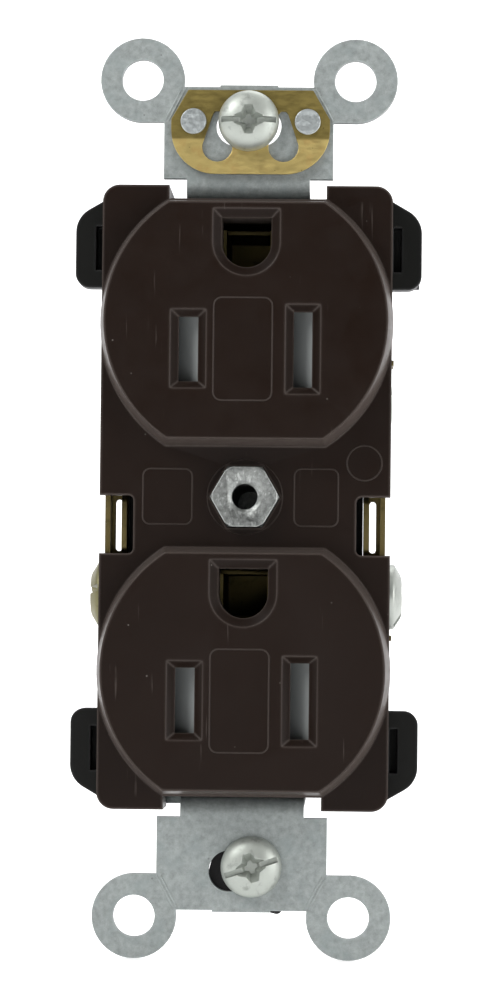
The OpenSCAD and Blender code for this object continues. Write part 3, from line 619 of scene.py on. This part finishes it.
def raised_line(name, points, y, width=RIB_WIDTH, height=RIB_HEIGHT, closed=True):
    """A rib with a half-round section, sunk a little into the plane at y, along (x, z) points."""
    bm = bmesh.new()
    count = len(points)
    section, sunk = 7, 0.02
    rings = []
    for i, (x, z) in enumerate(points):
        before = points[i - 1] if closed or i > 0 else points[i]
        after = points[(i + 1) % count] if closed or i < count - 1 else points[i]
        along = Vector((after[0] - before[0], 0, after[1] - before[1])).normalized()
        side = Vector((along.z, 0, -along.x))
        ring = []
        for k in range(section):
            a = math.pi * k / (section - 1)
            offset = side * (math.cos(a) * width / 2) + FRONT * (math.sin(a) * height - sunk)
            ring.append(bm.verts.new((Vector((x, y, z)) + offset) * MM))
        rings.append(ring)
    pairs = list(zip(rings, rings[1:] + rings[:1])) if closed else list(zip(rings, rings[1:]))
    for first, second in pairs:
        for k in range(section):
            m = (k + 1) % section
            bm.faces.new((first[k], first[m], second[m], second[k]))
    if not closed:
        bm.faces.new(rings[0])
        bm.faces.new(list(reversed(rings[-1])))
    bmesh.ops.recalc_face_normals(bm, faces=bm.faces)
    return new_object(name, bm)


def cover_marks():
    """Blank label frames and plain marks moulded on the cover. They carry no lettering."""
    low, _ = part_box("cover")
    face_front_y = low.y / MM
    marks = []
    for i, sign in enumerate((1, -1)):
        outline = rounded_outline(-0.3, sign * FACE_Z - BLADE_DROP, 3.25, 5.7, 0.9)
        marks.append(raised_line(f"face_frame_{i}", outline, face_front_y))
    for name, outline in (
        ("left_frame", rounded_outline(-8.65, 0, 2.75, 3.1, 0.8)),
        ("right_frame", rounded_outline(7.95, 0, 2.45, 3.2, 0.8)),
        ("plain_ring", arc_points((13.3, 3.9), 1.95, 0, 351, 39)),
    ):
        marks.append(raised_line(name, outline, COVER_FRONT_Y))
    halo = arc_points((0, 0), 4.2, 0, 352.5, 47)
    marks.append(raised_line("post_ring", halo, COVER_FRONT_Y, 0.16, 0.05))
    piece = join(marks[0], marks[1:])
    piece.name = "cover_marks"
    return dress(piece, "cover", replaced=False)


def score_lines():
    """Pairs of raised lines where each ear can be snapped off the strap."""
    lines = []
    for sx in (-1, 1):
        for sz in (-1, 1):
            for k, shift in enumerate((0.0, 0.42)):
                start = (sx * (7.1 + shift), sz * 45.95)
                end = (sx * (9.0 + shift), sz * 42.25)
                name = f"score_{sx}_{sz}_{k}"
                lines.append(raised_line(name, [start, end], STRAP_FRONT_Y, 0.22, 0.09, closed=False))
    piece = join(lines[0], lines[1:])
    piece.name = "strap_score_lines"
    return dress(piece, "mounting_strap", replaced=False)


# ------------------------------------------------------------------ all pieces

# CAD nodes that keep their shape: how wide their edges are softened, in millimetres, and in how many steps
SOFTENED = {
    "cover": (0.3, 3), "back_body": (0.25, 2), "mounting_strap": (0.14, 2),
    "self_ground_clip": (0.06, 2), "clip_rivets": (0.12, 3), "centre_post": (0.14, 3),
    "ground_strip": (0.08, 2), "hot_strip": (0.08, 2), "neutral_strip": (0.08, 2),
    "ground_strip_rivets": (0.25, 3),
    "hot_upper_plate": (0.12, 2), "hot_lower_plate": (0.12, 2),
    "neutral_upper_plate": (0.12, 2), "neutral_lower_plate": (0.12, 2),
    "ground_clamp": (0.12, 2), "retaining_washer": (0.1, 2),
    "upper_shutter": (0.12, 2), "upper_shutter_tray": (0.12, 2),
    "lower_shutter": (0.12, 2), "lower_shutter_tray": (0.12, 2),
}


def shutter_spring(end):
    """The coil, which its shutter presses towards the stop on the tray."""
    node = f"{end}_shutter_spring"
    coil = dress(new_object(node + "_look", welded(node)), node)
    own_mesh(coil)


def build_pieces():
    for node, (width, segments) in SOFTENED.items():
        softened_node(node, width, segments)
    shutter_spring("upper")
    shutter_spring("lower")
    build_screws()
    cover_marks()
    score_lines()


# ------------------------------------------------------------------ stage, light and camera

def build_stage():
    """A pale floor just under the outlet, which curves up into a pale wall behind it."""
    floor_z = cad_bounds[0].z - 0.2 * MM
    half, front, back, top, curve, steps = 1.2, -1.6, 0.55, 1.6, 0.25, 12
    profile = [(front, 0.0), (back - curve, 0.0)]
    for i in range(1, steps + 1):
        a = math.radians(90 * i / steps)
        profile.append((back - curve + curve * math.sin(a), curve - curve * math.cos(a)))
    profile.append((back, top))
    bm = bmesh.new()
    left = [bm.verts.new((-half, y, floor_z + z)) for y, z in profile]
    right = [bm.verts.new((half, y, floor_z + z)) for y, z in profile]
    for i in range(len(profile) - 1):
        bm.faces.new((left[i], right[i], right[i + 1], left[i + 1]))
    stage = new_object("stage_floor", bm)
    stage.data.polygons.foreach_set("use_smooth", [True] * len(stage.data.polygons))
    stage.data.materials.append(white_stage("pale_stage"))


def add_light(name, at, power):
    """A soft square lamp that points at the outlet."""
    data = bpy.data.lights.new(name, "AREA")
    data.energy = power
    data.size = 0.35
    lamp = bpy.data.objects.new(name, data)
    lamp.location = at
    lamp.rotation_mode = "QUATERNION"
    lamp.rotation_quaternion = (-Vector(at)).to_track_quat("-Z", "Y")
    bpy.context.scene.collection.objects.link(lamp)


def build_world():
    """Even light all round, weaker from the camera's side, and white wherever it is seen."""
    world = bpy.data.worlds.new("studio")
    bpy.context.scene.world = world
    world.use_nodes = True
    tree = world.node_tree
    coords = tree.nodes.new("ShaderNodeTexCoord")
    split = tree.nodes.new("ShaderNodeSeparateXYZ")
    tree.links.new(coords.outputs["Generated"], split.inputs[0])
    fade = tree.nodes.new("ShaderNodeMapRange")
    tree.links.new(split.outputs["Y"], fade.inputs["Value"])
    for key, value in {"From Min": -0.85, "From Max": -0.25, "To Min": 0.05, "To Max": 1.0}.items():
        fade.inputs[key].default_value = value
    seen = tree.nodes.new("ShaderNodeMath")
    seen.operation = "MAXIMUM"
    tree.links.new(fade.outputs["Result"], seen.inputs[0])
    tree.links.new(tree.nodes.new("ShaderNodeLightPath").outputs["Is Camera Ray"], seen.inputs[1])
    background = tree.nodes["Background"]
    background.inputs["Color"].default_value = (1, 1, 1, 1)
    tree.links.new(seen.outputs["Value"], background.inputs["Strength"])


def build_camera():
    """Almost straight on, 0.42 m away: a little to the right of the outlet's middle and a little below it."""
    yaw, pitch, roll = (math.radians(a) for a in (-1.6, -1.92, 0.59))
    turn = Matrix.Rotation(roll, 3, "Y") @ Matrix.Rotation(pitch, 3, "X") @ Matrix.Rotation(yaw, 3, "Z")
    back = turn.transposed()
    data = bpy.data.cameras.new("camera")
    data.sensor_width = 36.0
    data.lens = 134.9
    data.clip_start, data.clip_end = 0.01, 10.0
    camera = bpy.data.objects.new("camera", data)
    right, ahead, up = (back @ Vector(v) for v in ((1, 0, 0), (0, 1, 0), (0, 0, 1)))
    camera.matrix_world = Matrix((right, up, -ahead)).transposed().to_4x4()
    camera.location = -(back @ Vector((0.32 * MM, 0.42, 0.26 * MM)))
    bpy.context.scene.collection.objects.link(camera)
    bpy.context.scene.camera = camera


def main():
    build_pieces()
    build_stage()
    build_world()
    add_light("key", (-0.42, -0.40, 0.46), 3.4)
    add_light("fill", (0.52, -0.36, 0.12), 1.8)
    add_light("rim", (0.10, 0.25, 0.55), 0.8)
    build_camera()
    bpy.context.scene.view_settings.view_transform = "Standard"


main()
